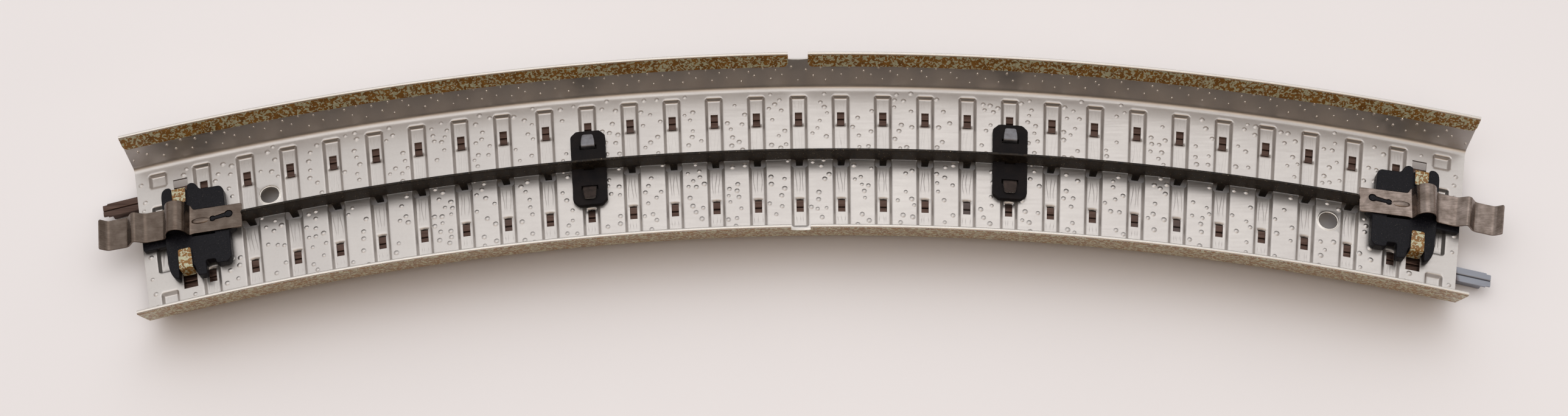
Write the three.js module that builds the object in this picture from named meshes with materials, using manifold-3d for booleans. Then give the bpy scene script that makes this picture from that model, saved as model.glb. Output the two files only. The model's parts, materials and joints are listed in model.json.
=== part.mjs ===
// Curved sheet-metal model track section with a stud contact strip, lying on its
// rail heads with the hollow underside facing up.
// Frame: X runs along the chord, Y points to the outside of the curve, Z is up,
// away from the rail heads. Millimetres.
import * as THREE from 'three';
import { mergeVertices } from 'three/addons/utils/BufferGeometryUtils.js';
import Module from 'manifold-3d';

const wasm = await Module();
wasm.setup();

// ---- driving dimensions ------------------------------------------------------
const RADIUS = 437.4;
const CURVE_DEG = 30;
const SLEEPER_COUNT = 31;
const GAUGE = 16.5;
const SHEET = 0.35;

// heights above the rail heads
const RAIL_H = 2.6;
const Z_SLEEPER = RAIL_H + SHEET;
const SLEEPER_EMBOSS = 0.7;
const Z_BED = Z_SLEEPER + SLEEPER_EMBOSS;
const Z_RIM = 11.35;

// bed cross-section
const BED_HALF = 14.85;
const RIM_HALF = 17.8;
const HEM_DROP = 2.9;
const NOTCH_WIDTH = 3.4;
const NOTCH_DEPTH = 1.45;

// sleepers and their windows
const SLEEPER_WIDTH = 2.1;
const SLEEPER_HALF = 12.9;
const RAIL_WINDOW_IN = 7.0;
const RAIL_WINDOW_OUT = 10.15;
const RAIL_WINDOW_LEN = 1.3;
const STUD_WINDOW_LEN = 2.9;
const STUD_WINDOW_HALF = 1.25;
const LAST_SLEEPER = 14;
const LAST_STUD = 13;

// rails
const HEAD_WIDTH = 1.4;
const RAIL_CENTRE = GAUGE / 2 + HEAD_WIDTH / 2;
const FOOT_WIDTH = 2.9;
const RAIL_SHEET = 0.28;
const RAIL_TONGUE = 6.2;
const TONGUE_STEP = 1.2;

// contact strip
const STRIP_THICK = 0.45;
const STRIP_LOW = 4.7;
const STRIP_TOP = 7.1;
const STRIP_END = 96.9;
const STUD_WIDTH = 1.35;
const STUD_TIP = RAIL_H - 0.9;
const STRIP_TAIL = 1.5;

// fibre cross plates
const PLATE_SLEEPER = 5;
const PLATE_LENGTH = 6.1;
const PLATE_HALF = 7.5;
const PLATE_THICK = 0.9;
const PLATE_CORNER = 1.0;
const PLATE_LUG_AT = 4.1;
const PLATE_LUG_LONG = 2.4;
const LUG_WIDTH = 2.4;

// end insulators
const BLOCK_TOP = 5.35;
const BLOCK_BASE = Z_BED + 0.08;
const BLOCK_NOSE = 98.4;
const FLAP_TOP = 4.65;
const BOSS_HEIGHT = 2.05;
const BOSS_HALF = 1.45;
const END_LUG_S = 107.1;
const END_LUG_O = 7.9;

// contact springs
const LEAF = 0.3;
const LEAF_Z = BLOCK_TOP + 0.08;
const SPRING_S = 96.9;
const SPRING_O = 0.1;
const ROOT_WIDTH = 4.7;
const TONGUE_WIDTH = 5.8;
const LOOP_AT = 11.0;
const LOOP_HALF = 1.85;
const LOOP_HEIGHT = 2.7;
const SPLIT_AT = 13.3;
const SPLIT_GAP = 0.3;

// screw holes
const SCREW_R = 1.55;
const SCREW_S = 92.4;
const SCREW_O = 4.1;

const ARC_HALF = (RADIUS * CURVE_DEG * Math.PI) / 360;
const PITCH = (2 * ARC_HALF) / SLEEPER_COUNT;
const CLEAR = 0.25;

// ---- shape helpers -----------------------------------------------------------
// point at arc length s along the centre line, offset o outwards, height z
function track(s, o, z) {
  const a = s / RADIUS;
  const r = RADIUS + o;
  return new THREE.Vector3(r * Math.sin(a), r * Math.cos(a) - RADIUS, z);
}

function fromTriangles(points, triangles) {
  const g = new THREE.BufferGeometry();
  const flat = [];
  for (const p of points) flat.push(p.x, p.y, p.z);
  g.setAttribute('position', new THREE.Float32BufferAttribute(flat, 3));
  g.setIndex(triangles.flat());
  return g;
}

// closed prism of an (offset, height) outline swept along the curve
function sweepAlongCurve(outline, s0, s1, steps) {
  const flat = outline.map(([o, z]) => new THREE.Vector2(o, z));
  if (THREE.ShapeUtils.area(flat) < 0) flat.reverse();
  const n = flat.length;
  const points = [];
  const triangles = [];
  for (let k = 0; k <= steps; k += 1) {
    const s = s0 + ((s1 - s0) * k) / steps;
    for (const p of flat) points.push(track(s, p.x, p.y));
  }
  for (let k = 0; k < steps; k += 1) {
    for (let i = 0; i < n; i += 1) {
      const a = k * n + i;
      const b = k * n + ((i + 1) % n);
      triangles.push([a, b, b + n], [a, b + n, a + n]);
    }
  }
  for (const [a, b, c] of THREE.ShapeUtils.triangulateShape(flat, [])) {
    triangles.push([a, c, b]);
    triangles.push([steps * n + a, steps * n + b, steps * n + c]);
  }
  return fromTriangles(points, triangles);
}

// box square to the curve, given by its middle s, offset range and height range
function boxOnCurve(s, length, o0, o1, z0, z1) {
  const g = new THREE.BoxGeometry(length, o1 - o0, z1 - z0);
  g.translate(0, RADIUS + (o0 + o1) / 2, (z0 + z1) / 2);
  g.rotateZ(-s / RADIUS);
  g.translate(0, -RADIUS, 0);
  return g;
}

// flat block whose plan outline is given as (s, o) pairs
function blockOnCurve(outline, z0, z1) {
  const plan = outline.map(([s, o]) => {
    const p = track(s, o, 0);
    return new THREE.Vector2(p.x, p.y);
  });
  const g = new THREE.ExtrudeGeometry(new THREE.Shape(plan), { depth: z1 - z0, bevelEnabled: false });
  g.translate(0, 0, z0);
  return g;
}

// closed band of even thickness around an open path of [u, z] points
function bandOutline(path, thickness) {
  const half = thickness / 2;
  const left = [];
  const right = [];
  for (let i = 0; i < path.length; i += 1) {
    const p = path[i];
    const before = path[Math.max(0, i - 1)];
    const after = path[Math.min(path.length - 1, i + 1)];
    const d0 = new THREE.Vector2(p[0] - before[0], p[1] - before[1]);
    const d1 = new THREE.Vector2(after[0] - p[0], after[1] - p[1]);
    if (d0.length() > 0) d0.normalize();
    if (d1.length() > 0) d1.normalize();
    const d = d0.clone().add(d1).normalize();
    const n = new THREE.Vector2(-d.y, d.x);
    const ref = d0.length() > 0 ? d0 : d1;
    const mitre = half / Math.max(0.6, n.dot(new THREE.Vector2(-ref.y, ref.x)));
    left.push(new THREE.Vector2(p[0] + n.x * mitre, p[1] + n.y * mitre));
    right.push(new THREE.Vector2(p[0] - n.x * mitre, p[1] - n.y * mitre));
  }
  return [...left, ...right.reverse()];
}

// sheet bent along a (u, z) path, width along v, in the spring's own frame
function bentSheet(path, thickness, v0, v1) {
  const shape = new THREE.Shape(bandOutline(path, thickness));
  const g = new THREE.ExtrudeGeometry(shape, { depth: v1 - v0, bevelEnabled: false });
  g.rotateX(Math.PI / 2);
  g.translate(0, v1, 0);
  return g;
}

// smooth run of points through a rounded corner of a path
function roundedPath(points, radius, steps) {
  const out = [points[0]];
  for (let i = 1; i < points.length - 1; i += 1) {
    const p = new THREE.Vector2(...points[i]);
    const a = new THREE.Vector2(...points[i - 1]).sub(p);
    const b = new THREE.Vector2(...points[i + 1]).sub(p);
    const r = Math.min(radius, a.length() * 0.45, b.length() * 0.45);
    const start = p.clone().add(a.setLength(r));
    const end = p.clone().add(b.setLength(r));
    const curve = new THREE.QuadraticBezierCurve(start, p, end);
    for (const q of curve.getPoints(steps)) out.push([q.x, q.y]);
  }
  out.push(points[points.length - 1]);
  return out;
}

function clean(geometry) {
  const g = geometry.clone();
  g.deleteAttribute('normal');
  g.deleteAttribute('uv');
  return mergeVertices(g, 1e-5);
}

function solid(geometry) {
  const g = clean(geometry);
  return new wasm.Manifold(new wasm.Mesh({
    numProp: 3,
    vertProperties: new Float32Array(g.attributes.position.array),
    triVerts: new Uint32Array(g.index.array),
  }));
}

function geometryOf(body) {
  const mesh = body.getMesh();
  const g = new THREE.BufferGeometry();
  g.setAttribute('position', new THREE.BufferAttribute(new Float32Array(mesh.vertProperties), 3));
  g.setIndex(new THREE.BufferAttribute(new Uint32Array(mesh.triVerts), 1));
  return g;
}

function addAll(first, geometries) {
  let body = first;
  for (const g of geometries) body = body.add(solid(g));
  return body;
}

function cutAll(first, geometries) {
  let body = first;
  for (const g of geometries) body = body.subtract(solid(g));
  return body;
}

// mirror image across the middle of the curve, for what the left end repeats
function mirrored(geometry) {
  const g = geometry.clone();
  g.scale(-1, 1, 1);
  const index = g.index.array;
  for (let i = 0; i < index.length; i += 3) {
    const keep = index[i];
    index[i] = index[i + 1];
    index[i + 1] = keep;
  }
  return g;
}

const ends = { left: -1, right: 1 };

function placeEnd(geometry, side) {
  return side < 0 ? mirrored(geometry) : geometry;
}

// ---- sheet-metal roadbed -----------------------------------------------------
function bedOutline() {
  const slope = (RIM_HALF - BED_HALF - SHEET) / (Z_RIM - Z_BED + SHEET);
  const skin = SHEET * Math.sqrt(1 + slope * slope);
  const half = [];
  const zOut = Z_BED - SHEET;
  const at = (z) => BED_HALF + SHEET + (z - zOut) * slope;
  half.push([at(zOut) - 0.5, zOut]);
  half.push([at(zOut + 0.45) - 0.03, zOut + 0.3]);
  half.push([at(Z_RIM - 0.35), Z_RIM - 0.35]);
  half.push([at(Z_RIM - 0.35) - 0.1, Z_RIM - 0.1]);
  half.push([at(Z_RIM) - skin + 0.09, Z_RIM]);
  half.push([at(Z_RIM) - skin - 0.16, Z_RIM]);
  half.push([at(Z_RIM) - 2 * skin + 0.05, Z_RIM - 0.12]);
  half.push([at(Z_RIM - 0.4) - 2 * skin, Z_RIM - 0.4]);
  half.push([at(Z_RIM - HEM_DROP) - 2 * skin, Z_RIM - HEM_DROP]);
  half.push([at(Z_RIM - HEM_DROP) - skin, Z_RIM - HEM_DROP]);
  half.push([at(Z_BED + 0.5) - skin, Z_BED + 0.5]);
  half.push([at(Z_BED) - skin - 0.35, Z_BED]);
  const other = half.map(([o, z]) => [-o, z]).reverse();
  return [...half, ...other];
}

function sleeperParts(index) {
  const s = index * PITCH;
  const w = SLEEPER_WIDTH;
  const outer = w + 2 * SHEET;
  const raised = [];
  const pockets = [];
  const windows = [];
  const rib = (o0, o1) => {
    raised.push(boxOnCurve(s, outer, o0 - SHEET, o1 + SHEET, RAIL_H, Z_BED - SHEET / 2));
    pockets.push(boxOnCurve(s, w, o0, o1, Z_SLEEPER, Z_BED + 1));
  };
  if (Math.abs(index) <= LAST_SLEEPER) {
    rib(-SLEEPER_HALF, SLEEPER_HALF);
    for (const side of [-1, 1]) {
      const o0 = side > 0 ? RAIL_WINDOW_IN : -RAIL_WINDOW_OUT;
      const o1 = side > 0 ? RAIL_WINDOW_OUT : -RAIL_WINDOW_IN;
      windows.push(boxOnCurve(s, RAIL_WINDOW_LEN, o0, o1, RAIL_H - 1, Z_BED + 1));
    }
  } else {
    rib(-SLEEPER_HALF, -11);
    rib(-6.2, 6.2);
    rib(11, SLEEPER_HALF);
  }
  if (Math.abs(index) <= LAST_STUD) {
    const h = STUD_WINDOW_HALF;
    windows.push(boxOnCurve(s, STUD_WINDOW_LEN, -h, h, RAIL_H - 1, Z_BED + 1));
  }
  return { raised, pockets, windows };
}

// tab cut from the bed and folded up at offset foot, then over towards offset tip
function bedLug(s, width, rail, foot, tip, z0, zTop) {
  const out = Math.sign(tip - foot);
  const near = foot - (out * SHEET) / 2;
  const far = foot + (out * SHEET) / 2;
  const under = zTop - SHEET;
  const bend = 0.3;
  const profile = [
    [near, z0], [near, zTop - bend], [near + out * bend, zTop],
    [tip, zTop], [tip, under], [far, under], [far, z0],
  ];
  const outline = profile.map(([o, z]) => [rail * o, z]);
  return sweepAlongCurve(outline, s - width / 2, s + width / 2, 1);
}

// what is missing of the folded hem in the notch: all of it, down to the single sheet
function hemGap(rail) {
  const slope = (RIM_HALF - BED_HALF - SHEET) / (Z_RIM - Z_BED + SHEET);
  const low = Z_RIM - HEM_DROP - 0.5;
  const high = Z_RIM + 0.5;
  const face = (z) => RIM_HALF - (Z_RIM - z) * slope - SHEET + 0.03;
  const outline = [[face(low), low], [face(high), high], [face(high) - 1.5, high], [face(low) - 1.5, low]];
  return sweepAlongCurve(outline.map(([o, z]) => [rail * o, z]), -NOTCH_WIDTH / 2, NOTCH_WIDTH / 2, 1);
}

function makeRoadbed() {
  let bed = solid(sweepAlongCurve(bedOutline(), -ARC_HALF, ARC_HALF, SLEEPER_COUNT));
  const raised = [];
  const cuts = [];
  const last = (SLEEPER_COUNT - 1) / 2;
  for (let i = -last; i <= last; i += 1) {
    const parts = sleeperParts(i);
    raised.push(...parts.raised);
    cuts.push(...parts.pockets, ...parts.windows);
  }
  bed = addAll(bed, raised);
  for (const side of [-1, 1]) {
    const s = side * PLATE_SLEEPER * PITCH;
    for (const rail of [-1, 1]) {
      const a = rail * (PLATE_LUG_AT + 0.08);
      const b = rail * (PLATE_LUG_AT + PLATE_LUG_LONG);
      cuts.push(boxOnCurve(s, LUG_WIDTH + 0.7, Math.min(a, b), Math.max(a, b), RAIL_H - 1, Z_BED + 1));
    }
    for (const rail of [-1, 1]) {
      const a = rail * (END_LUG_O + 0.08);
      const b = rail * (rail > 0 ? 11.2 : 10.75);
      cuts.push(boxOnCurve(side * END_LUG_S, LUG_WIDTH, Math.min(a, b), Math.max(a, b), 0, Z_BED + 1));
    }
    const hole = new THREE.CylinderGeometry(SCREW_R, SCREW_R, 3, 32);
    hole.rotateX(Math.PI / 2);
    const at = track(side * SCREW_S, -side * SCREW_O, Z_BED);
    hole.translate(at.x, at.y, at.z);
    cuts.push(hole);
  }
  for (const rail of [-1, 1]) {
    const o0 = rail > 0 ? BED_HALF : -RIM_HALF - 2;
    const o1 = rail > 0 ? RIM_HALF + 2 : -BED_HALF;
    cuts.push(boxOnCurve(0, NOTCH_WIDTH, o0, o1, Z_RIM - NOTCH_DEPTH, Z_RIM + 1));
    cuts.push(hemGap(rail));
  }
  bed = cutAll(bed, cuts);
  const lugs = [];
  const plateTop = Z_BED + PLATE_THICK + 0.1 + CLEAR + SHEET;
  const endTop = BLOCK_TOP + 0.2 + SHEET;
  for (const side of [-1, 1]) {
    for (const rail of [-1, 1]) {
      const reach = PLATE_LUG_AT + PLATE_LUG_LONG;
      const s = side * PLATE_SLEEPER * PITCH;
      lugs.push(bedLug(s, LUG_WIDTH, rail, PLATE_LUG_AT, reach, Z_SLEEPER - 0.2, plateTop));
      const tip = rail > 0 ? 4.9 : 4.2;
      lugs.push(bedLug(side * END_LUG_S, LUG_WIDTH - 0.15, rail, END_LUG_O, tip, Z_BED - 0.2, endTop));
    }
  }
  return geometryOf(addAll(bed, lugs));
}

// ---- rails -------------------------------------------------------------------
function railOutline(centre) {
  const h = HEAD_WIDTH / 2;
  const f = FOOT_WIDTH / 2;
  const t = RAIL_SHEET;
  const top = RAIL_H - 0.06;
  const outer = [[f, top], [f, top - t], [h - 0.05, top - t], [h, 0.75], [h - 0.12, 0.12], [h - 0.35, 0]];
  const inner = [[h - 0.05 - t, top], [h - t, 0.75], [h - t - 0.1, t + 0.05]];
  const right = outer.slice().reverse();
  const left = (list) => list.map(([o, z]) => [-o, z]).reverse();
  const loop = [...right, ...inner, ...left(inner), ...left(right)];
  return loop.map(([o, z]) => [centre + o, z]);
}

function makeRail(centre, tongueSide) {
  const s0 = tongueSide < 0 ? -ARC_HALF - RAIL_TONGUE : -ARC_HALF;
  const s1 = tongueSide > 0 ? ARC_HALF + RAIL_TONGUE : ARC_HALF;
  let rail = solid(sweepAlongCurve(railOutline(centre), s0, s1, SLEEPER_COUNT + 1));
  const tip = tongueSide * (ARC_HALF + RAIL_TONGUE);
  const cuts = [];
  const f = FOOT_WIDTH / 2;
  cuts.push(boxOnCurve(tip, 2 * TONGUE_STEP, centre - 2 * f, centre + 2 * f, -1, RAIL_H - 0.75));
  cuts.push(boxOnCurve(tip, 1.6, centre + f - 0.35, centre + 2 * f, -1, RAIL_H + 1));
  cuts.push(boxOnCurve(tip, 1.6, centre - 2 * f, centre - f + 0.35, -1, RAIL_H + 1));
  rail = cutAll(rail, cuts);
  return geometryOf(rail);
}

// ---- contact strip -----------------------------------------------------------
function makeStrip() {
  const t = STRIP_THICK / 2;
  const outline = [[-t, STRIP_LOW], [t, STRIP_LOW], [t, STRIP_TOP], [-t, STRIP_TOP]];
  const band = solid(sweepAlongCurve(outline, -STRIP_END, STRIP_END, 2 * LAST_STUD + 1));
  const extra = [];
  for (let i = -LAST_STUD; i <= LAST_STUD; i += 1) {
    extra.push(boxOnCurve(i * PITCH, STUD_WIDTH, -t + 0.01, t - 0.01, STUD_TIP, STRIP_LOW + 0.5));
  }
  for (const side of [-1, 1]) {
    const s = side * (STRIP_END + STRIP_TAIL / 2 - 0.3);
    extra.push(boxOnCurve(s, STRIP_TAIL + 0.6, -t + 0.02, t - 0.02, STRIP_LOW, LEAF_Z - CLEAR));
  }
  return geometryOf(addAll(band, extra));
}

// ---- fibre cross plates ------------------------------------------------------
function makeCrossPlate(side) {
  const s0 = PLATE_SLEEPER * PITCH;
  const h = PLATE_LENGTH / 2;
  const c = PLATE_CORNER;
  const p = PLATE_HALF;
  const corners = [
    [h, -p + c], [h, p - c], [h - c * 0.35, p - c * 0.3], [h - c, p],
    [-h + c, p], [-h + c * 0.35, p - c * 0.3], [-h, p - c],
    [-h, -p + c], [-h + c * 0.35, -p + c * 0.3], [-h + c, -p],
    [h - c, -p], [h - c * 0.35, -p + c * 0.3],
  ];
  const outline = corners.map(([s, o]) => [s0 + s, o]);
  const z0 = Z_BED + 0.08;
  const z1 = z0 + PLATE_THICK;
  const cuts = [boxOnCurve(s0, STUD_WIDTH + 2 * CLEAR, -0.5, 0.5, 0, 9)];
  for (const rail of [-1, 1]) {
    const a = rail * (PLATE_LUG_AT - SHEET / 2 - CLEAR);
    const b = rail * (PLATE_LUG_AT + SHEET / 2 + CLEAR);
    cuts.push(boxOnCurve(s0, LUG_WIDTH + 2 * CLEAR, Math.min(a, b), Math.max(a, b), 0, 9));
  }
  const plate = cutAll(solid(blockOnCurve(outline, z0, z1)), cuts);
  return placeEnd(geometryOf(plate), side);
}

// ---- contact springs ---------------------------------------------------------
// own frame: u runs outboard from the inner end, v outwards, z as in the part
const springSeat = {
  left: { rootTurn: 0.062, tongueStart: 1.4, tongueEnd: 2.1 },
  right: { rootTurn: 0.058, tongueStart: 1.25, tongueEnd: 1.15 },
};

function seatOnCurve(geometry, s, o, turn) {
  const at = track(s, o, 0);
  geometry.rotateZ(turn - s / RADIUS);
  geometry.translate(at.x, at.y, 0);
  return geometry;
}

function tongueSeat(name) {
  const seat = springSeat[name];
  const a = track(SPRING_S + SPLIT_AT, seat.tongueStart, 0);
  const b = track(SPRING_S + 23.6, seat.tongueEnd, 0);
  return { at: a, angle: Math.atan2(b.y - a.y, b.x - a.x) };
}

function loopPath() {
  const z = LEAF_Z + LEAF / 2;
  const path = [[LOOP_AT - LOOP_HALF - 0.9, z], [LOOP_AT - LOOP_HALF - 0.35, z + 0.12]];
  const steps = 12;
  for (let i = 0; i <= steps; i += 1) {
    const a = Math.PI * (1 - i / steps);
    const lift = 0.75 + (LOOP_HEIGHT - 0.75) * Math.sin(a);
    path.push([LOOP_AT + LOOP_HALF * 0.93 * Math.cos(a), z + lift]);
  }
  path.push([LOOP_AT + LOOP_HALF + 0.35, z + 0.12]);
  return path;
}

function slotOutline(grow) {
  const shape = new THREE.Shape();
  shape.absarc(0, 0, 0.72 - grow, Math.PI * 0.22, Math.PI * 1.78, false);
  shape.lineTo(2.3, -0.34 + grow);
  shape.absarc(2.75, 0, 0.55 - grow, Math.PI * 1.2, Math.PI * 2.8, false);
  shape.closePath();
  return shape;
}

function slotSolid(grow, z0, z1) {
  const g = new THREE.ExtrudeGeometry(slotOutline(grow), { depth: z1 - z0, bevelEnabled: false, curveSegments: 10 });
  g.translate(0, 0, z0);
  g.rotateZ(-0.17);
  g.translate(2.3, 0.55, 0);
  return g;
}

function makeContactRoot(name) {
  const z = LEAF_Z + LEAF / 2;
  const half = ROOT_WIDTH / 2;
  const inner = [[0, z], [LOOP_AT - LOOP_HALF - 0.6, z]];
  let leaf = solid(bentSheet(inner, LEAF, -half, half));
  const shift = TONGUE_WIDTH / 2 - half;
  const full = loopPath();
  full.push([SPLIT_AT - SPLIT_GAP, z]);
  leaf = leaf.add(solid(bentSheet(full, LEAF, -half - 0.25, half + 2 * shift - 0.25)));
  leaf = leaf.subtract(solid(slotSolid(0, 0, 20)));
  const rib = new THREE.CapsuleGeometry(0.62, 1.9, 4, 12);
  rib.rotateZ(Math.PI / 2);
  rib.scale(1, 1, 0.5);
  rib.translate(7.2, 0.0, z + 0.1);
  leaf = leaf.add(solid(rib));
  const tabs = [];
  for (const rail of [-1, 1]) {
    const tab = new THREE.BoxGeometry(3.3, LEAF, 1.5);
    tab.translate(6.7, rail * (half - LEAF / 2), LEAF_Z + LEAF - 0.75);
    tabs.push(tab);
  }
  leaf = addAll(leaf, tabs);
  const g = seatOnCurve(geometryOf(leaf), SPRING_S, SPRING_O, springSeat[name].rootTurn);
  return placeEnd(g, ends[name]);
}

function makeContactTongue(name) {
  const z = LEAF_Z + LEAF / 2;
  const corners = [
    [SPLIT_GAP, z], [3.1, z], [4.8, z + 1.3], [6.1, z - 0.25], [9.5, z - 0.25], [10.6, z + 0.95],
  ];
  const path = roundedPath(corners, 0.55, 4);
  const half = TONGUE_WIDTH / 2;
  const g = bentSheet(path, LEAF, -half, half);
  const seat = tongueSeat(name);
  const body = geometryOf(solid(g));
  body.rotateZ(seat.angle);
  body.translate(seat.at.x, seat.at.y, 0);
  return placeEnd(body, ends[name]);
}

// ---- end insulators ----------------------------------------------------------
const blockOutline = [
  [110.2, -3.9], [110.1, -7.1], [109.8, -8.35], [109.2, -9.3], [108.5, -9.45],
  [108.4, -7.5], [105.8, -7.5],
  [105.3, -9.6], [104.0, -9.75], [103.75, -9.55],
  [103.8, -7.0], [102.1, -7.1],
  [102.1, -8.05], [100.0, -8.15], [99.35, -7.2],
  [99.35, -2.1], [BLOCK_NOSE, -1.8], [BLOCK_NOSE, 1.9], [99.7, 2.1],
  [99.8, 6.5], [100.3, 7.15], [103.7, 7.3],
  [104.4, 8.65], [105.1, 8.95], [105.75, 8.6],
  [105.8, 7.5], [108.4, 7.5],
  [108.5, 8.7], [109.3, 8.85], [110.0, 8.3], [110.2, 7.2],
  [110.2, 3.4],
];

function makeInsulator(name) {
  const block = solid(blockOnCurve(blockOutline, BLOCK_BASE, BLOCK_TOP));
  const flap = blockOnCurve([[109.6, -2.35], [ARC_HALF - 0.3, -2.35], [ARC_HALF - 0.3, 3.3], [109.6, 3.3]],
    BLOCK_BASE, FLAP_TOP);
  const bossPath = [];
  for (let i = 0; i <= 10; i += 1) {
    const a = (Math.PI * i) / 10;
    bossPath.push(new THREE.Vector2(LOOP_AT + BOSS_HALF * Math.cos(a), BLOCK_TOP + BOSS_HEIGHT * Math.sin(a)));
  }
  bossPath.push(new THREE.Vector2(LOOP_AT - BOSS_HALF, BLOCK_TOP - 0.5));
  bossPath.push(new THREE.Vector2(LOOP_AT + BOSS_HALF, BLOCK_TOP - 0.5));
  const boss = new THREE.ExtrudeGeometry(new THREE.Shape(bossPath), { depth: 4.6, bevelEnabled: false });
  boss.rotateX(Math.PI / 2);
  boss.translate(0, 2.9, 0);
  const seat = (g) => seatOnCurve(g, SPRING_S, SPRING_O, springSeat[name].rootTurn);
  const peg = slotSolid(0.16, BLOCK_TOP - 0.5, LEAF_Z + LEAF - 0.08);
  let body = addAll(block, [flap, seat(boss), seat(peg)]);
  const cuts = [];
  for (const rail of [-1, 1]) {
    const pocket = new THREE.BoxGeometry(3.3 + 2 * CLEAR, LEAF + 2 * CLEAR, 4);
    pocket.translate(6.7, rail * (ROOT_WIDTH / 2 - LEAF / 2), LEAF_Z - 1.4 + 2);
    cuts.push(seat(pocket));
  }
  body = cutAll(body, cuts);
  return placeEnd(geometryOf(body), ends[name]);
}

// ---- assembly ----------------------------------------------------------------
const parts = {
  roadbed: [makeRoadbed(), 0xd9d2cd, 0.38, 0.85],
  outer_rail: [makeRail(RAIL_CENTRE, -1), 0x5a4a4a, 0.4, 0.9],
  inner_rail: [makeRail(-RAIL_CENTRE, 1), 0x565864, 0.4, 0.9],
  contact_strip: [makeStrip(), 0x1c1712, 0.55, 0.6],
  left_cross_plate: [makeCrossPlate(-1), 0x2b2320, 0.75, 0.0],
  right_cross_plate: [makeCrossPlate(1), 0x2b2320, 0.75, 0.0],
  left_end_insulator: [makeInsulator('left'), 0x23212a, 0.5, 0.0],
  right_end_insulator: [makeInsulator('right'), 0x23212a, 0.5, 0.0],
  left_contact_root: [makeContactRoot('left'), 0x8c7d6e, 0.35, 0.95],
  left_contact_tongue: [makeContactTongue('left'), 0x8c7d6e, 0.35, 0.95],
  right_contact_root: [makeContactRoot('right'), 0x8c7d6e, 0.35, 0.95],
  right_contact_tongue: [makeContactTongue('right'), 0x8c7d6e, 0.35, 0.95],
};

const box = new THREE.Box3();
for (const [g] of Object.values(parts)) {
  g.computeBoundingBox();
  box.union(g.boundingBox);
}
const middle = box.getCenter(new THREE.Vector3());

const section = new THREE.Group();
section.name = 'model_track_section';
for (const [name, [g, color, roughness, metalness]] of Object.entries(parts)) {
  g.translate(-middle.x, -middle.y, -box.min.z);
  const material = new THREE.MeshStandardMaterial({ color, roughness, metalness });
  const mesh = new THREE.Mesh(g, material);
  mesh.name = name;
  section.add(mesh);
}

export default section;
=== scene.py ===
"""Looks of a curved sheet-metal model track section with a stud contact strip, lying
upside down on its rail heads. Shapes are built in millimetres, with the curve's middle as
origin, and each finished mesh is moved into the frame's metres."""

import json
import math
import random

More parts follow.
